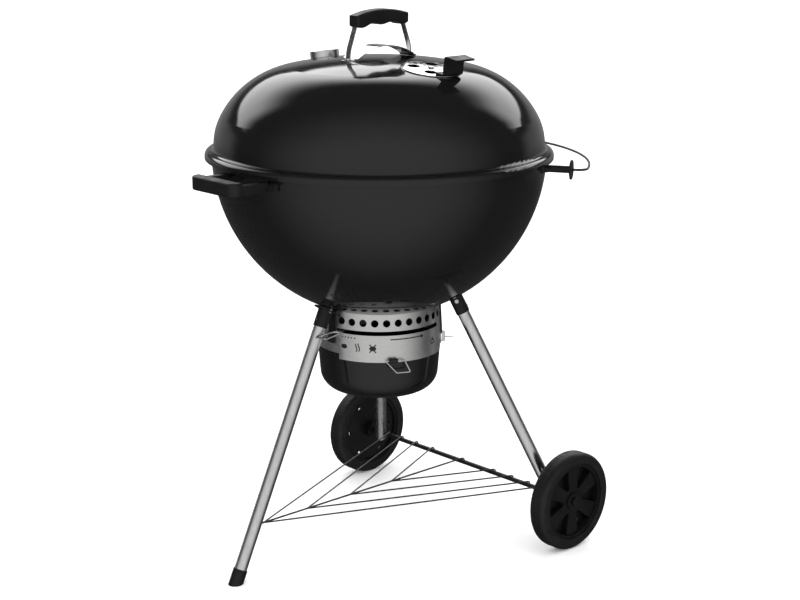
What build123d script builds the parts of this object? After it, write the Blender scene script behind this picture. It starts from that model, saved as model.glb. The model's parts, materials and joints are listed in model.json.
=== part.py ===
from build123d import *
import math
import os

os.makedirs("parts", exist_ok=True)

# Kettle charcoal grill. Millimetres, +Z up, floor at z = 0, bowl axis on x = y = 0.
# Front leg and bowl handle at -X, wheels and lid holder at +X, damper at -Y, gauge at +Y.

# ---- driving dimensions ----
RIM_R = 350.0            # lid flange, outer radius
SEAM_Z = 816.5           # lower edge of the lid flange
SHEET = 2.0              # enamelled sheet
BOWL_R = 336.5           # bowl, outer sphere
BOWL_Z = 828.5           # centre of that sphere
BEAD_R = 3.2             # rolled bead on the bowl's rim, mid-line radius

LID_WALL_R = 331.9       # lid, outer radius above the flange
LID_WALL_Z = 840.0
SHOULDER_R = 123.2       # lid profile: three arcs from the wall to the apex
SHOULDER_TURN = 28.5
DOME_R = 191.45
DOME_TURN = 50.15
CROWN_TURN = 90 - SHOULDER_TURN - DOME_TURN

DAMPER_Y = -148.2
DAMPER_R = 58.5
GAUGE_Y = 165.6
GAUGE_R = 30.0

TUBE_R = 12.7            # 1 inch leg tube
TUBE_WALL = 1.6
SOCKET_R = 14.4
SOCKET_GAP = 0.3         # between a socket's collar and its leg
FRONT_TOP = Vector(-145.2, 0, 519.6)
FRONT_FOOT = Vector(-384, 0, 0)
REAR_TOP = Vector(109.1, 117.0, 519)
FRONT_COLLAR = 36.0      # collar length below the leg's top point
REAR_COLLAR = 29.0
BUTTON_R = 4.0           # spring button through the socket
PIN_R = 2.2              # small pin on the collar's outer side
PIN_DOWN = 0.65          # its place along the collar
SLIT_LENGTH = 55.0       # slit in a rear leg's lower end
SLIT_WIDTH = 5.5

WHEEL_X = 247.9
WHEEL_R = 103.0
WHEEL_IN = 294.7         # wheel's inner and outer faces, distance from y = 0
WHEEL_OUT = 334.0
WEB_IN = 306.0           # inner face of the wheel's web
WEB_T = 5.0
BLADES = 6
AXLE_R = 5.0
REAR_LEG_Y = 267.0

RACK_Z = WHEEL_R + 7.0   # wire rack
RACK_WIRE = 1.6
SPINE_WIRE = 1.8
RACK_BEAD = 1.95         # weld bead where wires meet
RACK_HOOK = 1.5

SHIELD_TOP_R = 124.0     # conical ring under the bowl
SHIELD_TOP_Z = 515.0
SHIELD_LOW_R = 129.0
SHIELD_LOW_Z = 430.0
SKIRT_Z = 418.5
SHIELD_T = 1.2
LEG_AZIMUTHS = (180.0, 46.9, -46.9)

POT_TOP_Z = 434.0
POT_BOTTOM_Z = 331.6
POT_T = 1.6
BAIL_AZ = -116.0
BAIL_R = 136.0
BAIL_Z = 424.0

LEVER_AZ = -169.0
LEVER_Z = 477.0
SHAFT_R = 5.0

GRATE_Z = 807.0          # cooking bars
GRATE_RING_R = 326.0
GRATE_RING_Z = 800.0
FLAP_X = 168.0
COAL_GRATE_R = 276.0
COAL_GRATE_Z = 644.9

HOOP_R = 420.0           # lid holder wire
HOOP_Z = 806.0
HOOP_AZ = 58.9
HOOP_BEND = 20.0

# ---- derived ----
s_turn = math.radians(SHOULDER_TURN)
d_turn = math.radians(SHOULDER_TURN + DOME_TURN)
shoulder_in = SHOULDER_R * (1 - math.cos(s_turn))
shoulder_up = SHOULDER_R * math.sin(s_turn)
crown_join_r = LID_WALL_R - shoulder_in - DOME_R * (math.cos(s_turn) - math.cos(d_turn))
crown_join_z = LID_WALL_Z + shoulder_up + DOME_R * (math.sin(d_turn) - math.sin(s_turn))
CROWN_R = crown_join_r / math.cos(d_turn)
CROWN_Z = crown_join_z - CROWN_R * math.sin(d_turn)     # centre of the crown's sphere


# ---- helpers ----
def level_plane(azimuth, height):
    """Horizontal plane whose local x points outwards at this azimuth."""
    turn = math.radians(azimuth)
    return Plane(origin=(0, 0, height), x_dir=(math.cos(turn), math.sin(turn), 0), z_dir=(0, 0, 1))


def upright_plane(azimuth):
    """Vertical plane through the bowl axis; local x outwards, local y up."""
    turn = math.radians(azimuth)
    return Plane(origin=(0, 0, 0), x_dir=(math.cos(turn), math.sin(turn), 0),
                 z_dir=(math.sin(turn), -math.cos(turn), 0))


def crown_planes(y):
    """Profile plane, axis and cross plane of a fitting square to the lid's crown at this y."""
    lean = math.asin(y / CROWN_R)
    outward = (0, math.sin(lean), math.cos(lean))
    centre = (0, 0, CROWN_Z)
    profile = Plane(origin=centre, x_dir=(1, 0, 0), z_dir=(0, -math.cos(lean), math.sin(lean)))
    return profile, Axis(centre, outward), Plane(origin=centre, x_dir=(1, 0, 0), z_dir=outward)


def rod(start, end, radius, mode=Mode.ADD):
    """Round bar between two points."""
    span = Vector(end) - Vector(start)
    with Locations(Plane(origin=Vector(start), z_dir=span)):
        Cylinder(radius, span.length, align=(Align.CENTER, Align.CENTER, Align.MIN), mode=mode)


def cut_bowl():
    """Trim the piece back to the bowl's outer surface."""
    with Locations((0, 0, BOWL_Z)):
        Sphere(BOWL_R, mode=Mode.SUBTRACT)


def shield_r(z):
    """Outer radius of the conical ring at a height."""
    fall = (SHIELD_LOW_R - SHIELD_TOP_R) / (SHIELD_TOP_Z - SHIELD_LOW_Z)
    return SHIELD_TOP_R + (SHIELD_TOP_Z - z) * fall


pieces = {}

# ---- bowl ----
bowl_mid = BOWL_R - SHEET / 2
with BuildPart() as bowl:
    with BuildSketch(Plane.XZ):
        with BuildLine():
            shell = JernArc((0, BOWL_Z - bowl_mid), (1, 0), bowl_mid, 89.4)
            JernArc(shell @ 1, shell % 1, BEAD_R, -205)
        trace(line_width=SHEET)
    revolve(axis=Axis.Z)
    with BuildSketch(Plane.XY.offset(480)):
        Circle(SHAFT_R + 0.05)
        with PolarLocations(72, 3):
            SlotOverall(66, 26)
    extrude(amount=60, mode=Mode.SUBTRACT)
pieces["bowl"] = bowl

# ---- legs and sockets ----
front_dir = (FRONT_FOOT - FRONT_TOP).normalized()
rear_end = Vector(WHEEL_X, REAR_LEG_Y, WHEEL_R)
rear_dir = (rear_end - REAR_TOP).normalized()
FRONT_END = FRONT_FOOT - front_dir * 9.6        # tube ends inside its foot cap


def other_side(point):
    """The same point on the -Y side."""
    return Vector(point.X, -point.Y, point.Z)


leg_lines = {
    "front_leg": (FRONT_TOP, front_dir, FRONT_COLLAR, FRONT_END),
    "rear_leg_left": (REAR_TOP, rear_dir, REAR_COLLAR, rear_end + rear_dir * 15),
    "rear_leg_right": (other_side(REAR_TOP), other_side(rear_dir), REAR_COLLAR,
                       other_side(rear_end + rear_dir * 15)),
}
for leg_name, (top, direction, collar, end) in leg_lines.items():
    with BuildPart() as leg:
        start = top + direction * (collar + SOCKET_GAP)
        rod(start, end, TUBE_R)
        rod(start - direction, end + direction, TUBE_R - TUBE_WALL, mode=Mode.SUBTRACT)
        if leg_name == "front_leg":
            rod((-340, 0, RACK_Z), (-300, 0, RACK_Z), SPINE_WIRE + 0.2, mode=Mode.SUBTRACT)
        else:
            rod((WHEEL_X, -320, WHEEL_R), (WHEEL_X, 320, WHEEL_R), AXLE_R + 0.1, mode=Mode.SUBTRACT)
            across = Vector(-0.75, math.copysign(0.66, top.Y), 0)
            with BuildSketch(Plane(origin=end, x_dir=direction, z_dir=across)):
                Rectangle(2 * SLIT_LENGTH, SLIT_WIDTH)
            extrude(amount=20, both=True, mode=Mode.SUBTRACT)
    pieces[leg_name] = leg

with BuildPart() as leg_sockets:
    for top, direction, collar, end in leg_lines.values():
        rod(top - direction * 30, top + direction * collar, SOCKET_R)
        rod(top, top + direction * (collar + 34), TUBE_R - TUBE_WALL - 0.2)
        side = direction.cross(Vector(0, 0, 1)).normalized()
        rod(top - side * 20, top + side * 20, BUTTON_R + 0.1, mode=Mode.SUBTRACT)
        pin = top + direction * collar * PIN_DOWN
        rod(pin, pin + side.cross(direction) * 20, PIN_R + 0.1, mode=Mode.SUBTRACT)
    cut_bowl()
pieces["leg_sockets"] = leg_sockets

with BuildPart() as leg_pins:
    for top, direction, collar, end in leg_lines.values():
        side = direction.cross(Vector(0, 0, 1)).normalized()
        rod(top - side * (SOCKET_R + 1.6), top + side * (SOCKET_R + 1.6), BUTTON_R)
        pin = top + direction * collar * PIN_DOWN
        outward = side.cross(direction)
        rod(pin + outward * 2, pin + outward * (SOCKET_R + 0.8), PIN_R)
pieces["leg_pins"] = leg_pins

with BuildPart() as foot_cap:
    rod(FRONT_FOOT - front_dir * 30, FRONT_FOOT + front_dir * 12, SOCKET_R)
    rod(FRONT_FOOT - front_dir * 31, FRONT_END + front_dir * 0.1, TUBE_R + 0.1, mode=Mode.SUBTRACT)
    split(bisect_by=Plane.XY, keep=Keep.TOP)
pieces["foot_cap"] = foot_cap

# ---- axle and wheels ----
with BuildPart() as axle:
    rod((WHEEL_X, -330, WHEEL_R), (WHEEL_X, 330, WHEEL_R), AXLE_R)
pieces["axle"] = axle

with BuildPart() as axle_caps:
    for side in (-1, 1):
        rod((WHEEL_X, side * 330, WHEEL_R), (WHEEL_X, side * 336, WHEEL_R), 9)
    fillet(axle_caps.edges().filter_by(GeomType.CIRCLE), 1.5)
pieces["axle_caps"] = axle_caps

wheel_mid = (WHEEL_IN + WHEEL_OUT) / 2
for side, side_name in ((1, "left"), (-1, "right")):
    profile = Plane(origin=(WHEEL_X, 0, WHEEL_R), x_dir=(0, side, 0), z_dir=(side, 0, 0))
    face_on = Plane(origin=(WHEEL_X, 0, WHEEL_R), x_dir=(1, 0, 0), z_dir=(0, side, 0))
    spin = Axis((WHEEL_X, 0, WHEEL_R), (0, side, 0))

    with BuildPart() as tyre:
        with BuildSketch(profile) as tread:
            with Locations((wheel_mid, WHEEL_R - 11)):
                Rectangle(WHEEL_OUT - WHEEL_IN, 22)
            fillet(tread.vertices().group_by(Axis.Y)[-1], 10)
            fillet(tread.vertices().group_by(Axis.Y)[0], 2)
        revolve(axis=spin)
    pieces[f"tyre_{side_name}"] = tyre

    with BuildPart() as wheel:
        with BuildSketch(profile):
            with Locations((wheel_mid, WHEEL_R - 25.5)):
                Rectangle(30, 7)
            with Locations((WEB_IN + 9.5, 47)):
                Rectangle(19, 60)
            with Locations((309.5, 12)):
                Rectangle(39, 13.8)
        revolve(axis=spin)
        with BuildSketch(face_on.offset(WEB_IN + WEB_T)):
            with PolarLocations(49, BLADES):
                Polygon((-20, -3.5), (22, -21), (24, 0), (22, 21), (-20, 3.5), align=None)
        extrude(amount=60, mode=Mode.SUBTRACT)
        with BuildSketch(face_on.offset(280)):
            Circle(AXLE_R + 0.06)
            with PolarLocations(62, BLADES):
                SlotOverall(11, 5, rotation=90)
        extrude(amount=60, mode=Mode.SUBTRACT)
    pieces[f"wheel_{side_name}"] = wheel

# ---- bottom rack: nested wire chevrons on a spine, hooked over the axle ----
chevrons = ((-312.5, 237.0), (-198.0, 197.0), (-81.5, 148.8), (35.4, 95.9))
with BuildPart() as bottom_rack:
    rod((-326, 0, RACK_Z), (WHEEL_X, 0, RACK_Z), SPINE_WIRE)
    for apex, half in chevrons:
        for side in (-1, 1):
            rod((apex, 0, RACK_Z), (WHEEL_X, side * half, RACK_Z), RACK_WIRE)
            with Locations((WHEEL_X, side * half, RACK_Z)):
                Sphere(RACK_WIRE + 0.1)
        with Locations((apex, 0, RACK_Z)):
            Sphere(RACK_BEAD)
    for half in (-197.0, -148.8, -95.9, 0.0, 95.9, 148.8, 197.0):
        with BuildSketch(Plane(origin=(WHEEL_X, half, RACK_Z), z_dir=(1, 0, 0))):
            Circle(RACK_HOOK)
        revolve(axis=Axis((WHEEL_X, 0, WHEEL_R), (0, 1, 0)), revolution_arc=110)
pieces["bottom_rack"] = bottom_rack

# ---- ash ring, its straps and wire hook ----
HOLE_Z = 497.8
HOLE_COUNT = 33
HOLE_AZ = -125.4
SLOT_LOW, SLOT_HIGH = 473.0, 481.5
SLOT_AZ, SLOT_SPAN = -174.5, 111.0
SKIRT_AZ, SKIRT_SPAN = -170.6, 110.6
with BuildPart() as ash_shield:
    with BuildSketch(Plane.XZ):
        Polygon((shield_r(520) - SHIELD_T, 520), (shield_r(520), 520),
                (shield_r(SKIRT_Z), SKIRT_Z), (shield_r(SKIRT_Z) - SHIELD_T, SKIRT_Z), align=None)
    revolve(axis=Axis.Z)
    cut_bowl()
    with Locations((0, 0, HOLE_Z)):
        with PolarLocations(SHIELD_TOP_R, HOLE_COUNT, start_angle=HOLE_AZ):
            Cylinder(7.5, 20, rotation=(0, 90, 0), mode=Mode.SUBTRACT)
    with BuildSketch(upright_plane(SLOT_AZ)):
        with Locations((SHIELD_LOW_R - 3, (SLOT_LOW + SLOT_HIGH) / 2)):
            Rectangle(14, SLOT_HIGH - SLOT_LOW)
    revolve(axis=Axis.Z, revolution_arc=SLOT_SPAN, mode=Mode.SUBTRACT)
    with BuildSketch(upright_plane(SKIRT_AZ + SKIRT_SPAN)):
        with Locations((SHIELD_LOW_R, SHIELD_LOW_Z - 10)):
            Rectangle(14, 20)
    revolve(axis=Axis.Z, revolution_arc=360 - SKIRT_SPAN, mode=Mode.SUBTRACT)
pieces["ash_shield"] = ash_shield

STRAP_LOW = 449.0
with BuildPart() as shield_straps:
    for azimuth in LEG_AZIMUTHS:
        with BuildSketch(upright_plane(azimuth)):
            Polygon((shield_r(STRAP_LOW), STRAP_LOW), (shield_r(STRAP_LOW) + 2.5, STRAP_LOW),
                    (shield_r(530) + 2.5, 530), (shield_r(530), 530), align=None)
        extrude(amount=10, both=True)
    cut_bowl()
    with BuildSketch(Plane.XY.offset(STRAP_LOW - 1)):
        Circle(shield_r(STRAP_LOW) + 0.1)
    extrude(amount=90, taper=3.36, mode=Mode.SUBTRACT)
pieces["shield_straps"] = shield_straps

EAR_AZ = -42.0
with BuildPart() as shield_ear:
    with BuildSketch(upright_plane(EAR_AZ)) as ear:
        with Locations((shield_r(438) + 4.7, 438)):
            Rectangle(7.6, 24)
        fillet(ear.vertices().group_by(Axis.X)[-1], 4)
    extrude(amount=1, both=True)
    ear_line = level_plane(EAR_AZ, 437)
    rod(ear_line.from_local_coords((134, 0)), ear_line.from_local_coords((153, 0)), 1.2)
pieces["shield_ear"] = shield_ear

HOOK_BEND = 18.5
HOOK_RISE = math.radians(30.3)      # the wire climbs round the front leg's socket
hook_plane = Plane(origin=(-124.4, 0, 507.8), x_dir=(-math.cos(HOOK_RISE), 0, math.sin(HOOK_RISE)),
                   z_dir=(math.sin(HOOK_RISE), 0, math.cos(HOOK_RISE)))
with BuildPart() as shield_hook:
    with BuildLine(hook_plane) as hook:
        Line((0, -HOOK_BEND), (29.6, -HOOK_BEND))
        CenterArc((29.6, 0), HOOK_BEND, -90, 180)
        Line((29.6, HOOK_BEND), (0, HOOK_BEND))
    with BuildSketch(Plane(origin=hook.line @ 0, z_dir=hook.line % 0)):
        Circle(1.7)
    sweep()
pieces["shield_hook"] = shield_hook

# ---- ash pot, latch and bail ----
pot_rim_r = 127.2 - POT_T / 2
pot_low_r = pot_rim_r - 0.08 * (POT_TOP_Z - POT_BOTTOM_Z)
with BuildPart() as ash_pot:
    with BuildSketch(Plane.XZ):
        with BuildLine():
            FilletPolyline((0, POT_BOTTOM_Z + POT_T / 2), (pot_low_r, POT_BOTTOM_Z + POT_T / 2),
                           (pot_rim_r, POT_TOP_Z), radius=39.6)
        trace(line_width=POT_T)
    revolve(axis=Axis.Z)
pieces["ash_pot"] = ash_pot

bail_line = level_plane(BAIL_AZ, BAIL_Z)
LATCH_LEFT, LATCH_RIGHT = -19.5, -1.0
with BuildPart() as pot_latch:
    latch_side = Plane(origin=bail_line.from_local_coords((0, LATCH_LEFT)), x_dir=bail_line.x_dir,
                       z_dir=-bail_line.y_dir)
    with BuildSketch(latch_side):
        with BuildLine():
            FilletPolyline((124.2, 410.5 - BAIL_Z), (BAIL_R - 2.9, 410.5 - BAIL_Z), (BAIL_R - 2.9, 0),
                           radius=2)
        trace(line_width=2)
        with Locations((BAIL_R, 0)):
            Circle(4.2)
    extrude(amount=LATCH_LEFT - LATCH_RIGHT)
    with BuildSketch(latch_side):
        with Locations((BAIL_R, 0)):
            Circle(1.58)
    extrude(amount=LATCH_LEFT - LATCH_RIGHT, mode=Mode.SUBTRACT)
    with BuildSketch(Plane.XY.offset(BAIL_Z - 30)):
        Circle(125.4)
    extrude(amount=30, mode=Mode.SUBTRACT)
pieces["pot_latch"] = pot_latch

with BuildPart() as pot_bail:
    hanging = Plane(origin=bail_line.from_local_coords((BAIL_R, 0)), x_dir=bail_line.y_dir,
                    z_dir=bail_line.x_dir)
    with BuildLine(hanging) as loop:
        FilletPolyline((-26, 0), (-3, -26), (26, -26), (13, 0), radius=2, close=True)
    with BuildSketch(Plane(origin=loop.line @ 0, z_dir=loop.line % 0)):
        Circle(1.5)
    sweep()
pieces["pot_bail"] = pot_bail

# ---- one-lever cleaning system ----
BLADE_R = BOWL_R - SHEET - 0.4 - SHEET / 2      # mid-line of the blades, inside the bowl
with BuildPart() as blades:
    with BuildSketch(Plane.XZ):
        with BuildLine():
            JernArc((0, BOWL_Z - BLADE_R), (1, 0), BLADE_R, 22)
        trace(line_width=SHEET)
    revolve(axis=Axis.Z)
    with BuildSketch(Plane.XY.offset(480)):
        Circle(30)
        with PolarLocations(72, 3, start_angle=60):
            SlotOverall(88, 40)
        Circle(SHAFT_R + 0.2, mode=Mode.SUBTRACT)
    extrude(amount=60, mode=Mode.INTERSECT)
pieces["blades"] = blades

blade_hub_z = BOWL_Z - BLADE_R + SHEET / 2
with BuildPart() as cleaner_shaft:
    with BuildSketch(Plane.XZ):
        with BuildLine():
            Polyline((0, 469), (8, 469), (8, 475.4), (SHAFT_R, 475.4), (SHAFT_R, 478.6), (10, 478.6),
                     (10, 488), (SHAFT_R, 488), (SHAFT_R, blade_hub_z + 0.3), (9, blade_hub_z + 0.3),
                     (9, blade_hub_z + 7), (0, blade_hub_z + 7), close=True)
        make_face()
    revolve(axis=Axis.Z)
pieces["cleaner_shaft"] = cleaner_shaft

lever_plane = level_plane(LEVER_AZ, LEVER_Z)
with BuildPart() as lever_strap:
    with BuildSketch(lever_plane.offset(-1.5)):
        Circle(14)
        with Locations((68, 0)):
            Rectangle(136, 16)
        Circle(SHAFT_R + 0.2, mode=Mode.SUBTRACT)
    extrude(amount=3)
pieces["lever_strap"] = lever_strap

with BuildPart() as lever_loop:
    with BuildLine(lever_plane) as grip_wire:
        FilletPolyline((138, 0), (142, 8), (160, 11), (193, 12), (193, -12), (160, -11), (142, -8), (138, 0),
                       radius=2)
    with BuildSketch(Plane(origin=grip_wire.line @ 0, z_dir=grip_wire.line % 0)):
        Circle(2.0)
    sweep()
pieces["lever_loop"] = lever_loop

# ---- grates ----
with BuildPart() as charcoal_grate:
    with Locations((0, 0, COAL_GRATE_Z)):
        Torus(COAL_GRATE_R, 3)
    for step in range(-8, 9):
        x = step * 30.0
        half = math.sqrt(COAL_GRATE_R ** 2 - x ** 2)
        rod((x, -half, COAL_GRATE_Z), (x, half, COAL_GRATE_Z), 2.5)
    for y in (-120, 120):
        half = math.sqrt(COAL_GRATE_R ** 2 - y ** 2)
        rod((-half, y, COAL_GRATE_Z - 4.5), (half, y, COAL_GRATE_Z - 4.5), 2.5)
    with Locations((0, 0, BOWL_Z)):
        Sphere(BOWL_R - SHEET, mode=Mode.INTERSECT)
pieces["charcoal_grate"] = charcoal_grate

with BuildPart() as grate_brackets:
    for azimuth in (0, 90, 180, 270):
        with BuildSketch(upright_plane(azimuth)):
            with Locations((328, GRATE_RING_Z - 6)):
                Rectangle(20, 4)
        extrude(amount=10, both=True)
    with Locations((0, 0, BOWL_Z)):
        Sphere(BOWL_R - SHEET, mode=Mode.INTERSECT)
pieces["grate_brackets"] = grate_brackets

with BuildPart() as grate_ring:
    with Locations((0, 0, GRATE_RING_Z)):
        Torus(GRATE_RING_R, 4)
pieces["grate_ring"] = grate_ring

SLEEVE_Y = 144.0
with BuildPart() as grate_bars:
    for step in range(-15, 16):
        y = step * 18.0
        reach = FLAP_X - 3.3 if abs(y) == SLEEVE_Y else 158.0
        rod((-reach, y, GRATE_Z), (reach, y, GRATE_Z), 3)
    for x in (-150, 150):
        rod((x, -286.5, GRATE_RING_Z + 2), (x, 286.5, GRATE_RING_Z + 2), 2.5)
    for x in (-FLAP_X, FLAP_X):
        for y in (-SLEEVE_Y, SLEEVE_Y):
            rod((x, y - 6, GRATE_Z), (x, y + 6, GRATE_Z), 4.5)
            rod((x, y - 7, GRATE_Z), (x, y + 7, GRATE_Z), 2.55, mode=Mode.SUBTRACT)
pieces["grate_bars"] = grate_bars

FLAP_R = 314.0
for side, side_name in ((1, "rear"), (-1, "front")):
    spread = math.degrees(math.acos(FLAP_X / FLAP_R))
    with BuildPart() as flap:
        rod((side * FLAP_X, -262, GRATE_Z), (side * FLAP_X, 262, GRATE_Z), 2.5)
        with BuildSketch(upright_plane((0 if side > 0 else 180) - spread)):
            with Locations((FLAP_R, GRATE_Z)):
                Circle(2.4)
        revolve(axis=Axis.Z, revolution_arc=2 * spread)
        for step in range(-14, 14):
            y = step * 18.0 + 9.0
            outer = FLAP_R + 14 if abs(y) == 45 else FLAP_R
            reach = math.sqrt(outer ** 2 - y ** 2)
            rod((side * FLAP_X, y, GRATE_Z), (side * reach, y, GRATE_Z), 2.2)
    pieces[f"flap_{side_name}"] = flap

# ---- bowl side handle ----
with BuildPart() as bowl_handle:
    with BuildSketch(Plane.XY.offset(790)) as bar:
        with Locations((-409.75, 0)):
            Rectangle(25.5, 136)
        fillet(bar.vertices().group_by(Axis.X)[0], 18)
    extrude(amount=27)
    fillet(bowl_handle.faces().filter_by(Axis.Z).edges(), 4)
    with BuildSketch(Plane.XY.offset(792)):
        with Locations((-371, -60), (-371, 60)):
            Rectangle(66, 15)
    extrude(amount=19)
pieces["bowl_handle"] = bowl_handle

with BuildPart() as handle_brackets:
    for azimuth in (165.8, 188.4):
        with BuildSketch(upright_plane(azimuth)):
            with Locations((336, 801.5)):
                Rectangle(5, 13)
        revolve(axis=Axis.Z, revolution_arc=5.8)
    for y in (-60, 60):
        rod((-338, y, 801.5), (-320, y, 801.5), 9)
    cut_bowl()
pieces["handle_brackets"] = handle_brackets

# ---- lid holder hoop ----
bend_offset = math.degrees(math.asin(HOOP_BEND / (HOOP_R - HOOP_BEND)))
arc_half = HOOP_AZ - bend_offset
with BuildPart() as lid_holder:
    with BuildLine(Plane.XY.offset(HOOP_Z)) as hoop:
        arc = CenterArc((0, 0), HOOP_R, -arc_half, 2 * arc_half)
        turn_in = JernArc(arc @ 1, arc % 1, HOOP_BEND, 90 + bend_offset)
        Line(turn_in @ 1, PolarLine((0, 0), 345, HOOP_AZ, mode=Mode.PRIVATE) @ 1)
        turn_back = JernArc(arc @ 0, -(arc % 0), HOOP_BEND, -90 - bend_offset)
        Line(turn_back @ 1, PolarLine((0, 0), 345, -HOOP_AZ, mode=Mode.PRIVATE) @ 1)
    wire_path = hoop.wires()[0]
    with BuildSketch(Plane(origin=wire_path @ 0, z_dir=wire_path % 0)):
        Circle(2.5)
    sweep(path=wire_path)
pieces["lid_holder"] = lid_holder

with BuildPart() as holder_sleeves:
    for azimuth in (-HOOP_AZ, HOOP_AZ):
        axis_line = level_plane(azimuth, HOOP_Z)
        rod(axis_line.from_local_coords((345, 0)), axis_line.from_local_coords((389.5, 0)), 7.2)
        rod(axis_line.from_local_coords((389.5, 0)), axis_line.from_local_coords((392.5, 0)), 19.5)
        rod(axis_line.from_local_coords((344, 0)), axis_line.from_local_coords((394, 0)), 2.6,
            mode=Mode.SUBTRACT)
pieces["holder_sleeves"] = holder_sleeves

with BuildPart() as holder_brackets:
    for azimuth in (-HOOP_AZ, HOOP_AZ):
        axis_line = level_plane(azimuth, HOOP_Z)
        rod(axis_line.from_local_coords((325, 0)), axis_line.from_local_coords((344.8, 0)), 8)
        with BuildSketch(upright_plane(azimuth)):
            with Locations((337, HOOP_Z)):
                Rectangle(4, 16)
        extrude(amount=15, both=True)
    cut_bowl()
pieces["holder_brackets"] = holder_brackets

# ---- lid ----
damper_profile, damper_axis, damper_cross = crown_planes(DAMPER_Y)
gauge_profile, gauge_axis, gauge_cross = crown_planes(GAUGE_Y)
SCREW_X = 88.5
SCREW_R = 2.4
VENT_PITCH_R = 34.0
VENT_R = 12.5
lid_mid_r = LID_WALL_R - SHEET / 2
with BuildPart() as lid_shell:
    with BuildSketch(Plane.XZ):
        with BuildLine():
            FilletPolyline((RIM_R - 1, SEAM_Z), (RIM_R - 1, 829), (lid_mid_r, 832), (lid_mid_r, LID_WALL_Z),
                           radius=8)
            shoulder = JernArc((lid_mid_r, LID_WALL_Z), (0, 1), SHOULDER_R - 1, SHOULDER_TURN)
            dome = JernArc(shoulder @ 1, shoulder % 1, DOME_R - 1, DOME_TURN)
            JernArc(dome @ 1, dome % 1, CROWN_R - 1, CROWN_TURN)
        trace(line_width=SHEET)
    revolve(axis=Axis.Z)
    with BuildSketch(damper_cross.offset(CROWN_R - 30)):
        Circle(3.1)
        with PolarLocations(VENT_PITCH_R, 4, start_angle=45):
            Circle(VENT_R)
    extrude(amount=60, mode=Mode.SUBTRACT)
    with BuildSketch(gauge_cross.offset(CROWN_R - 30)):
        Circle(4.2)
    extrude(amount=60, mode=Mode.SUBTRACT)
    with BuildSketch(Plane.XY.offset(990)):
        with Locations((-SCREW_X, 0), (SCREW_X, 0)):
            Circle(SCREW_R + 0.1)
    extrude(amount=40, mode=Mode.SUBTRACT)
pieces["lid_shell"] = lid_shell

STRAP_HALF = 5.5
strap_points = ((95.5, 1010.9), (81.5, 1012.3), (80.5, 1030), (58.5, 1090), (-58.5, 1090), (-80.5, 1030),
                (-81.5, 1012.3), (-95.5, 1010.9))
strap_bends = (4, 60, 6, 6, 60, 4)
with BuildPart() as handle_strap:
    with BuildSketch(Plane.XZ):
        with BuildLine():
            FilletPolyline(*strap_points, radius=strap_bends)
        trace(line_width=3)
    extrude(amount=STRAP_HALF, both=True)
    with BuildSketch(Plane.XY.offset(990)):
        with Locations((-SCREW_X, 0), (SCREW_X, 0)):
            Circle(SCREW_R + 0.1)
    extrude(amount=40, mode=Mode.SUBTRACT)
pieces["handle_strap"] = handle_strap

with BuildPart() as handle_screws:
    for x in (-SCREW_X, SCREW_X):
        rod((x, 0, 1002), (x, 0, 1014), SCREW_R)
        rod((x, 0, 1013.9), (x, 0, 1016.6), 3.7)
        rod((x, 0, 1002.7), (x, 0, 1006.7), 5)
pieces["handle_screws"] = handle_screws

GRIP_HALF_X = 68.0
with BuildPart() as lid_grip:
    with BuildSketch(Plane.XZ):
        with BuildLine():
            back = ThreePointArc((-GRIP_HALF_X, 1097.5), (0, 1107.4), (GRIP_HALF_X, 1097.5))
            Line(back @ 1, (GRIP_HALF_X, 1079))
            palm = Spline((GRIP_HALF_X, 1079), (44.9, 1076.3), (32.7, 1081), (-5.8, 1077), (-27.1, 1080.5),
                          (-46, 1074.6), (-GRIP_HALF_X, 1077))
            Line(palm @ 1, back @ 0)
        make_face()
    extrude(amount=14.5, both=True)
    fillet(lid_grip.faces().filter_by(Axis.Y).edges(), 4.5)
    with BuildSketch(Plane.XZ):
        with BuildLine():
            FilletPolyline(*strap_points, radius=strap_bends)
        trace(line_width=3.2)
    extrude(amount=STRAP_HALF + 0.1, both=True, mode=Mode.SUBTRACT)
pieces["lid_grip"] = lid_grip

with BuildPart() as heat_shield:
    with BuildSketch(Plane.XZ):
        with BuildLine():
            arch = ThreePointArc((-75, 1015), (0, 1036.5), (75, 1015))
            Line(arch @ 1, (76.5, 1011.3))
            Line(arch @ 0, (-76.5, 1011.3))
        trace(line_width=1.2)
    extrude(amount=22, both=True)
pieces["heat_shield"] = heat_shield

# ---- damper ----
PLATE_T = 1.5
plate_mid = CROWN_R + 0.4 + PLATE_T / 2
with BuildPart() as damper_plate:
    with BuildSketch(damper_profile):
        with BuildLine():
            JernArc((0, plate_mid), (1, 0), plate_mid, -math.degrees(DAMPER_R / plate_mid))
        trace(line_width=PLATE_T)
    revolve(axis=damper_axis)
    with BuildSketch(damper_cross.offset(CROWN_R - 30)):
        Circle(3.06)
        with PolarLocations(VENT_PITCH_R, 4, start_angle=45):
            Circle(VENT_R)
    extrude(amount=60, mode=Mode.SUBTRACT)
pieces["damper_plate"] = damper_plate

plate_top = CROWN_R + 0.4 + PLATE_T
with BuildPart() as damper_rivet:
    with BuildSketch(damper_profile):
        with BuildLine():
            Polyline((0, CROWN_R - 6), (7, CROWN_R - 6), (7, CROWN_R - 3), (3.0, CROWN_R - 3),
                     (3.0, plate_top + 0.3), (7, plate_top + 0.3), (5, plate_top + 3), (0, plate_top + 3.4),
                     close=True)
        make_face()
    revolve(axis=damper_axis)
pieces["damper_rivet"] = damper_rivet

with BuildPart() as damper_tab:
    with BuildSketch(Plane.YZ):
        with BuildLine():
            FilletPolyline((-187, 998.7), (-207.5, 995.3), (-212, 1030.5), (-241, 1025), radius=2.6)
        trace(line_width=4)
    extrude(amount=25, both=True)
    with Locations((0, 0, CROWN_Z)):
        Sphere(plate_top, mode=Mode.SUBTRACT)
pieces["damper_tab"] = damper_tab

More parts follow.
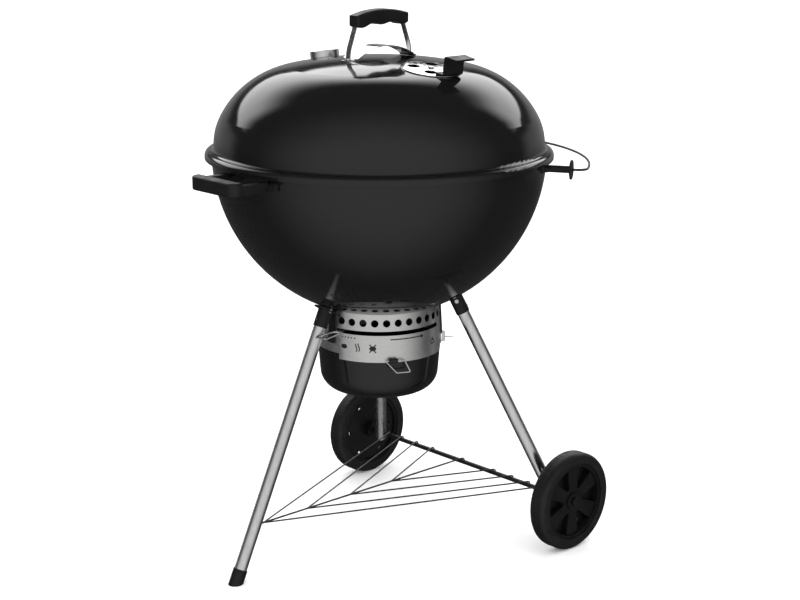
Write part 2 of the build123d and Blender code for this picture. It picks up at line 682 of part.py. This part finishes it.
# ---- lid gauge ----
with BuildPart() as gauge_case:
    with BuildSketch(gauge_profile):
        with BuildLine():
            Polyline((4.4, CROWN_R + 0.6), (26, CROWN_R + 0.6), (27, CROWN_R + 0.1),
                     (GAUGE_R, CROWN_R + 0.1), (GAUGE_R, CROWN_R + 13), (GAUGE_R - 2, CROWN_R + 14),
                     (25.5, CROWN_R + 14), (25.5, CROWN_R + 13.1), (27, CROWN_R + 13.1),
                     (27, CROWN_R + 3.5), (4.4, CROWN_R + 3.5), close=True)
        make_face()
    revolve(axis=gauge_axis)
pieces["gauge_case"] = gauge_case

with BuildPart() as gauge_dial:
    with BuildSketch(gauge_cross.offset(CROWN_R + 7)):
        Circle(26.8)
        Circle(1.2, mode=Mode.SUBTRACT)
    extrude(amount=1)
pieces["gauge_dial"] = gauge_dial

with BuildPart() as gauge_glass:
    with BuildSketch(gauge_cross.offset(CROWN_R + 11.4)):
        Circle(26.8)
    extrude(amount=1.6)
pieces["gauge_glass"] = gauge_glass

with BuildPart() as gauge_stem:
    with BuildSketch(gauge_cross.offset(CROWN_R - 60)):
        Circle(3)
    extrude(amount=63.5)
    with BuildSketch(gauge_cross.offset(CROWN_R - 8)):
        RegularPolygon(8, 6)
    extrude(amount=4)
    with BuildSketch(gauge_cross.offset(CROWN_R + 3.5)):
        Circle(1.0)
    extrude(amount=5.5)
pieces["gauge_stem"] = gauge_stem

with BuildPart() as gauge_needle:
    with BuildSketch(gauge_cross.offset(CROWN_R + 9)):
        Polygon((-1.4, -8), (1.4, -8), (0.4, 20), (-0.4, 20), align=None)
        Circle(3)
        Circle(1.06, mode=Mode.SUBTRACT)
    extrude(amount=0.6)
pieces["gauge_needle"] = gauge_needle

for label, piece in pieces.items():
    piece.part.label = label
    export_step(piece.part, f"parts/{label}.step")
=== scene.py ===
import json
import math

import bmesh
import bpy
import numpy as np
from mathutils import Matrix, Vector


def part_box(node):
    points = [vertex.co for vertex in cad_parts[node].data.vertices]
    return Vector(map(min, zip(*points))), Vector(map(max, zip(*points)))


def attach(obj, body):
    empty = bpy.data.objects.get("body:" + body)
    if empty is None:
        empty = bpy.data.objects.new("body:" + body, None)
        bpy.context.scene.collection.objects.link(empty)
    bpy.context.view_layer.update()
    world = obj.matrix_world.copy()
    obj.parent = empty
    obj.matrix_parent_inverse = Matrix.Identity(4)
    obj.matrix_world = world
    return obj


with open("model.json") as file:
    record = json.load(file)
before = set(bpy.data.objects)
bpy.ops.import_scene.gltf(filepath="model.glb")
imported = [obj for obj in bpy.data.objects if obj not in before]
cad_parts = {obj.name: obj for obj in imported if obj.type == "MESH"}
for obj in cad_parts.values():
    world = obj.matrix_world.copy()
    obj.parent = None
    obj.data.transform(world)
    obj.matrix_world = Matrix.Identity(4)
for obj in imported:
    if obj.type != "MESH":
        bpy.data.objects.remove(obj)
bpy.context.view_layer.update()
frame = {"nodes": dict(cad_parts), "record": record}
nodes = frame["nodes"]
scene = bpy.context.scene
MM = 0.001


# ---------------------------------------------------------------- materials
class Mat:
    """A node material and short ways to add nodes to it."""

    def __init__(self, name, **sockets):
        self.mat = bpy.data.materials.new(name)
        self.mat.use_nodes = True
        self.tree = self.mat.node_tree
        self.bsdf = self.tree.nodes["Principled BSDF"]
        for key, value in sockets.items():
            self.bsdf.inputs[key.replace("_", " ")].default_value = value

    def add(self, kind, inputs=None, **props):
        node = self.tree.nodes.new("ShaderNode" + kind)
        for key, value in props.items():
            setattr(node, key, value)
        for key, value in (inputs or {}).items():
            if isinstance(value, bpy.types.NodeSocket):
                self.tree.links.new(value, node.inputs[key])
            else:
                node.inputs[key].default_value = value
        return node

    def link(self, source, target):
        self.tree.links.new(source, target)

    def coords(self, scale=(1, 1, 1)):
        place = self.add("TexCoord")
        return self.add("Mapping", {"Vector": place.outputs["Object"], "Scale": scale}).outputs["Vector"]

    def noise(self, scale, detail=3.0, rough=0.55, stretch=(1, 1, 1)):
        return self.add("TexNoise", {"Vector": self.coords(stretch), "Scale": scale, "Detail": detail,
                                     "Roughness": rough}).outputs["Fac"]

    def ramp(self, fac, low, high, at=(0.35, 0.65)):
        """Map a factor to a range of values or of colours."""
        if isinstance(low, (int, float)):
            node = self.add("MapRange", {"Value": fac, "From Min": at[0], "From Max": at[1], "To Min": low,
                                         "To Max": high})
            return node.outputs["Result"]
        node = self.add("ValToRGB", {"Fac": fac})
        node.color_ramp.elements[0].position = at[0]
        node.color_ramp.elements[0].color = (*low, 1)
        node.color_ramp.elements[1].position = at[1]
        node.color_ramp.elements[1].color = (*high, 1)
        return node.outputs["Color"]

    def colour(self, output):
        self.link(output, self.bsdf.inputs["Base Color"])

    def rough(self, output):
        self.link(output, self.bsdf.inputs["Roughness"])

    def bump(self, height, strength, distance=0.001):
        node = self.add("Bump", {"Height": height, "Strength": strength, "Distance": distance})
        if self.bsdf.inputs["Normal"].is_linked:
            self.link(self.bsdf.inputs["Normal"].links[0].from_socket, node.inputs["Normal"])
        self.link(node.outputs["Normal"], self.bsdf.inputs["Normal"])


def enamel():
    m = Mat("black_enamel", Specular_IOR_Level=0.5)
    speck = m.noise(900, 2)
    m.colour(m.ramp(speck, (0.003, 0.003, 0.0033), (0.006, 0.006, 0.0063)))
    m.rough(m.ramp(m.noise(14, 5), 0.06, 0.11))
    m.bump(m.noise(55, 3), 0.01, 0.002)
    return m.mat


def brushed(name, colour, rough, stretch, scale, strength):
    """Metal with fine streaks along the axis that stretch leaves long."""
    m = Mat(name, Metallic=1.0)
    streak = m.noise(scale, 4, 0.7, stretch)
    blotch = m.noise(9, 4)
    dark = tuple(c * 0.86 for c in colour)
    m.colour(m.ramp(streak, dark, colour))
    mixed = m.add("Math", {0: streak, 1: blotch}, operation="ADD").outputs["Value"]
    m.rough(m.ramp(mixed, rough - 0.06, rough + 0.08, (0.8, 1.2)))
    m.bump(streak, strength, 0.0003)
    return m.mat


def plastic(name, colour, rough, grain=0.25, scale=1400, dimples=0):
    m = Mat(name, Specular_IOR_Level=0.34)
    bright = tuple(c * 1.6 for c in colour)
    m.colour(m.ramp(m.noise(30, 5), colour, bright))
    m.rough(m.ramp(m.noise(45, 4), rough - 0.06, rough + 0.08))
    m.bump(m.noise(scale, 3), grain, 0.00025)
    if dimples:
        cells = m.add("TexVoronoi", {"Vector": m.coords(), "Scale": dimples, "Randomness": 0.15})
        m.bump(m.ramp(cells.outputs["Distance"], 0.0, 1.0, (0.18, 0.34)), 0.55, 0.0012)
    return m.mat


def plated(name, colour, rough):
    m = Mat(name, Metallic=1.0)
    m.colour(m.ramp(m.noise(120, 4), tuple(c * 0.88 for c in colour), colour))
    m.rough(m.ramp(m.noise(60, 5), max(0.03, rough - 0.05), rough + 0.07))
    m.bump(m.noise(350, 3), 0.05, 0.0003)
    return m.mat


def coated_wire():
    m = Mat("black_wire", Specular_IOR_Level=0.5)
    m.colour(m.ramp(m.noise(200, 4), (0.003, 0.003, 0.003), (0.007, 0.007, 0.0073)))
    m.rough(m.ramp(m.noise(90, 4), 0.3, 0.45))
    m.bump(m.noise(600, 3), 0.12, 0.0003)
    return m.mat


def glass():
    m = Mat("glass", Alpha=0.14, Specular_IOR_Level=0.5)
    m.colour(m.ramp(m.noise(40, 3), (0.93, 0.96, 0.96), (0.97, 0.99, 0.99)))
    m.rough(m.ramp(m.noise(70, 3), 0.01, 0.04))
    return m.mat


def printed(name, colour, rough=0.5):
    m = Mat(name, Specular_IOR_Level=0.4)
    m.colour(m.ramp(m.noise(300, 4), tuple(c * 0.9 for c in colour), colour))
    m.rough(m.ramp(m.noise(80, 4), rough - 0.05, rough + 0.06))
    m.bump(m.noise(900, 3), 0.05, 0.0002)
    return m.mat


ENAMEL = enamel()
LEG = brushed("leg_metal", (0.90, 0.90, 0.91), 0.20, (1, 1, 0.02), 120, 0.012)
SHIELD = brushed("brushed", (0.86, 0.86, 0.85), 0.34, (1, 1, 18), 60, 0.08)
POLISHED = plated("polished", (0.90, 0.90, 0.90), 0.10)
BRIGHT = brushed("bright_steel", (0.72, 0.72, 0.73), 0.24, (1, 1, 0.1), 500, 0.08)
CHROME = plated("chrome_wire", (0.86, 0.86, 0.87), 0.12)
GRATE = plated("steel_grate", (0.60, 0.60, 0.61), 0.28)
BLACK_PLASTIC = plastic("black_plastic", (0.003, 0.003, 0.0032), 0.42, 0.12)
GRIP = plastic("grip_plastic", (0.0035, 0.0035, 0.0037), 0.44, 0.2, 1100)
TYRE = plastic("tyre", (0.0045, 0.0045, 0.0045), 0.50, 0.15, 900, 95)
WHEEL = plastic("wheel", (0.003, 0.003, 0.0032), 0.42, 0.12, 1000)
WIRE = coated_wire()
GLASS = glass()
DIAL = printed("dial", (0.86, 0.86, 0.84))
NEEDLE = printed("needle", (0.02, 0.02, 0.02))
MARK = printed("mark_ink", (0.012, 0.012, 0.012), 0.45)

BY_SLOT = {
    "black_enamel": ENAMEL, "leg_metal": LEG, "black_plastic": BLACK_PLASTIC, "grip_plastic": GRIP,
    "brushed": SHIELD, "polished": POLISHED, "bright_steel": BRIGHT, "chrome_wire": CHROME,
    "black_wire": WIRE, "tyre": TYRE, "wheel": WHEEL, "steel_grate": GRATE, "dial": DIAL, "glass": GLASS,
    "needle": NEEDLE,
}
for part in frame["record"]["subparts"]:
    data = nodes[part["node"]].data
    data.materials.clear()
    data.materials.append(BY_SLOT[part["material_slot"]])


# ---------------------------------------------------------------- mesh helpers
def new_object(name, verts, faces, mat, body, smooth=35):
    mesh = bpy.data.meshes.new(name)
    mesh.from_pydata([tuple(v) for v in verts], [], [tuple(f) for f in faces])
    mesh.validate()
    bm = bmesh.new()
    bm.from_mesh(mesh)
    bmesh.ops.recalc_face_normals(bm, faces=bm.faces)
    bm.to_mesh(mesh)
    bm.free()
    mesh.polygons.foreach_set("use_smooth", [True] * len(mesh.polygons))
    if smooth:
        mesh.set_sharp_from_angle(angle=math.radians(smooth))
    obj = bpy.data.objects.new(name, mesh)
    scene.collection.objects.link(obj)
    mesh.materials.append(mat)
    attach(obj, body)
    return obj


def polar(azimuth, radius, z):
    a = math.radians(azimuth)
    return Vector((radius * math.cos(a), radius * math.sin(a), z))


# ---------------------------------------------------------------- printed marks
def ribbon(line, width):
    """Left and right edges of a flat stroke along a line of points."""
    pts = np.array(line, float)
    tangent = np.gradient(pts, axis=0)
    tangent /= np.linalg.norm(tangent, axis=1)[:, None]
    normal = np.stack([-tangent[:, 1], tangent[:, 0]], 1) * width / 2
    return pts + normal, pts - normal


def strokes(name, lines, width, place, mat, body, lift=(0.12, 0.24)):
    """Thin raised ink along lines in a flat sheet's millimetres; place maps (u, v, height) to mm."""
    verts, faces = [], []
    for line in lines:
        left, right = ribbon(line, width)
        first = len(verts)
        for a, b in zip(left, right):
            for point, height in ((a, lift[0]), (b, lift[0]), (b, lift[1]), (a, lift[1])):
                verts.append(place(point[0], point[1], height) * MM)
        count = len(line)
        for i in range(count - 1):
            for k in range(4):
                a = first + 4 * i + k
                b = first + 4 * i + (k + 1) % 4
                faces.append((a, b, b + 4, a + 4))
        last = first + 4 * (count - 1)
        faces.append((first, first + 1, first + 2, first + 3))
        faces.append((last + 3, last + 2, last + 1, last))
    return new_object(name, verts, faces, mat, body, 30)


def oval(u, v, half_u, half_v, steps=40):
    turns = [2 * math.pi * i / steps for i in range(steps + 1)]
    return [(u + half_u * math.cos(t), v + half_v * math.sin(t)) for t in turns]


def straight(u0, v0, u1, v1, steps=24):
    return [(u0 + (u1 - u0) * i / steps, v0 + (v1 - v0) * i / steps) for i in range(steps + 1)]


shield_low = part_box("ash_shield")[0]
SKIRT_R = -shield_low[1] / MM       # the ring is a cone; this is its lower, widest end
SKIRT_Z = shield_low[2] / MM
RING_FALL = 0.0588                  # loss of radius per mm of height


def on_shield(azimuth):
    """Map (u along the ring, v height) to the ring's outer face; u = 0 is at this azimuth."""
    def place(u, v, lift):
        radius = SKIRT_R - (v - SKIRT_Z) * RING_FALL + lift
        return polar(azimuth + math.degrees(u / SKIRT_R), radius, v)
    return place


ring = on_shield(0)


def along(azimuth):
    return math.radians(azimuth) * SKIRT_R


mark_lines = [
    *[oval(along(-165.5), 447, 6 * k, 3.6 * k) for k in (1, 0.7, 0.4, 0.15)],
    [(along(-153.2) + 1.6 * math.sin(t / 3), 439 + t) for t in range(17)],
    [(along(-150.8) + 1.6 * math.sin(t / 3), 440 + t) for t in range(17)],
    *[oval(along(-138), 447, 6 * k, 3.6 * k) for k in (1, 0.7, 0.4, 0.15)],
    straight(along(-141), 455, along(-139), 451),
    straight(along(-135), 455, along(-137), 451),
    straight(along(-141), 439, along(-139), 443),
    straight(along(-135), 439, along(-137), 443),
    straight(along(-122), 465, along(-88.6), 465, 60),
    straight(along(-91), 468, along(-88.6), 465),
    straight(along(-91), 462, along(-88.6), 465),
    straight(along(-75), 456, along(-75), 449),
    straight(along(-76.2), 451.5, along(-75), 449),
    straight(along(-73.8), 451.5, along(-75), 449),
    straight(along(-77.5), 450, along(-77), 443),
    straight(along(-77), 443, along(-73), 443),
    straight(along(-73), 443, along(-72.5), 450),
]
strokes("shield_marks", mark_lines, 2.3, ring, MARK, "stand")
dots = [oval(along(-167.7 + 3.2 * i), 466, 0.8, 0.8, 12) for i in range(5)]
strokes("shield_dots", dots, 1.5, ring, MARK, "stand")

# ---------------------------------------------------------------- gauge scale
dial_low, dial_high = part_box("gauge_dial")
dial_mid = (Vector(dial_low) + Vector(dial_high)) / 2 / MM
DIAL_SPHERE_R = 954.6               # the dial stands square to the lid's crown
lean = math.asin(dial_mid.y / DIAL_SPHERE_R)
dial_up = Vector((0, math.sin(lean), math.cos(lean)))
dial_across = Vector((0, -math.cos(lean), math.sin(lean)))


def on_dial(u, v, lift):
    """Map dial coordinates to the dial's face."""
    return dial_mid + Vector((1, 0, 0)) * u + dial_across * v + dial_up * (0.5 + lift)


ticks = []
for i in range(31):
    turn = math.radians(225 - 9 * i)
    inner = 19.5 if i % 5 == 0 else 21.5
    ticks.append(straight(inner * math.cos(turn), inner * math.sin(turn), 24 * math.cos(turn),
                          24 * math.sin(turn), 2))
strokes("dial_ticks", ticks, 0.7, on_dial, MARK, "lid", (0.05, 0.15))
scale_arc = [(17 * math.cos(math.radians(225 - 4.5 * i)), 17 * math.sin(math.radians(225 - 4.5 * i)))
             for i in range(61)]
strokes("dial_scale", [scale_arc], 1.2, on_dial, MARK, "lid", (0.05, 0.15))


# ---------------------------------------------------------------- floor, lights, camera
floor_mesh = bpy.data.meshes.new("floor")
SIZE = 14
floor_mesh.from_pydata([(-SIZE, -SIZE, -0.0005), (SIZE, -SIZE, -0.0005), (SIZE, SIZE, -0.0005),
                        (-SIZE, SIZE, -0.0005)], [], [(0, 1, 2, 3)])
floor = bpy.data.objects.new("floor", floor_mesh)
scene.collection.objects.link(floor)
floor_mat = Mat("floor", Roughness=0.6)
floor_mat.colour(floor_mat.ramp(floor_mat.noise(3, 2), (0.93, 0.93, 0.93), (0.95, 0.95, 0.95)))
floor_mesh.materials.append(floor_mat.mat)

floor.visible_glossy = False

world = bpy.data.worlds.new("studio")
scene.world = world
world.use_nodes = True
world.cycles.sampling_method = "NONE"
sky = world.node_tree
background = sky.nodes["Background"]
background.inputs["Color"].default_value = (1, 1, 1, 1)


def sky_node(kind, inputs, output, **props):
    node = sky.nodes.new("ShaderNode" + kind)
    for key, value in props.items():
        setattr(node, key, value)
    for key, value in inputs.items():
        if isinstance(value, bpy.types.NodeSocket):
            sky.links.new(value, node.inputs[key])
        else:
            node.inputs[key].default_value = value
    return node.outputs[output]


def sky_math(operation, a, b=0.0):
    return sky_node("Math", {0: a, 1: b}, "Value", operation=operation)


def sky_range(value, low, high, start, end):
    return sky_node("MapRange", {"Value": value, "From Min": low, "From Max": high, "To Min": start,
                                 "To Max": end}, "Result", interpolation_type="SMOOTHSTEP")


def sky_dot(direction):
    return sky_node("VectorMath", {0: look, 1: direction}, "Value", operation="DOT_PRODUCT")


look = sky_node("TexCoord", {}, "Generated")
up = sky_dot((0, 0, 1))
back = sky_dot((0.672, 0.741, 0))
level = sky_math("SQRT", sky_math("SUBTRACT", 1.0, sky_math("MULTIPLY", up, up)))
facing = sky_math("DIVIDE", back, sky_math("MAXIMUM", level, 0.01))
side = sky_range(facing, 0.35, 0.6, 0.0, 1.0)
panel = sky_math("MULTIPLY", sky_range(up, 0.30, 0.325, 0.0, 1.0), sky_range(up, 0.52, 0.80, 1.0, 0.0))
panel = sky_math("MULTIPLY", panel, side)
horizon = sky_math("MULTIPLY", sky_range(up, 0.12, 0.25, 1.0, 0.0), sky_range(up, -0.3, 0.0, 0.0, 1.0))
horizon = sky_math("MULTIPLY", horizon, side)
base = sky_range(back, 0.15, -0.95, 0.05, 0.62)
mirrored = sky_math("ADD", base, sky_math("MULTIPLY", panel, 2.7))
mirrored = sky_math("ADD", mirrored, sky_math("MULTIPLY", horizon, 0.28))
seen = sky_node("LightPath", {}, "Is Camera Ray")
spread = sky_node("LightPath", {}, "Is Diffuse Ray")
strength = sky_node("Mix", {0: spread, 2: mirrored, 3: 1.8}, 0)
background_strength = sky_node("Mix", {0: seen, 2: strength, 3: 1.0}, 0)
sky.links.new(background_strength, background.inputs["Strength"])


def softbox(name, place, target, size, power):
    light = bpy.data.lights.new(name, "AREA")
    light.shape = "RECTANGLE"
    light.size, light.size_y = size
    light.energy = power
    obj = bpy.data.objects.new(name, light)
    obj.location = place
    obj.rotation_euler = (Vector(target) - Vector(place)).to_track_quat("-Z", "Y").to_euler()
    scene.collection.objects.link(obj)
    return obj


key = softbox("key_top", (-0.9, 0.3, 3.2), (0, 0, 0.5), (1.6, 1.6), 6)
key.visible_glossy = False

camera_data = bpy.data.cameras.new("camera")
camera_data.lens = 75.07
camera_data.sensor_width = 36
camera_data.shift_x = 0.02606
camera = bpy.data.objects.new("camera", camera_data)
camera.location = (-2.2335, -2.4614, 1.37245)
camera.rotation_euler = (math.radians(75.53), 0, math.radians(-42.22))
scene.collection.objects.link(camera)
scene.camera = camera
scene.view_settings.view_transform = "Standard"
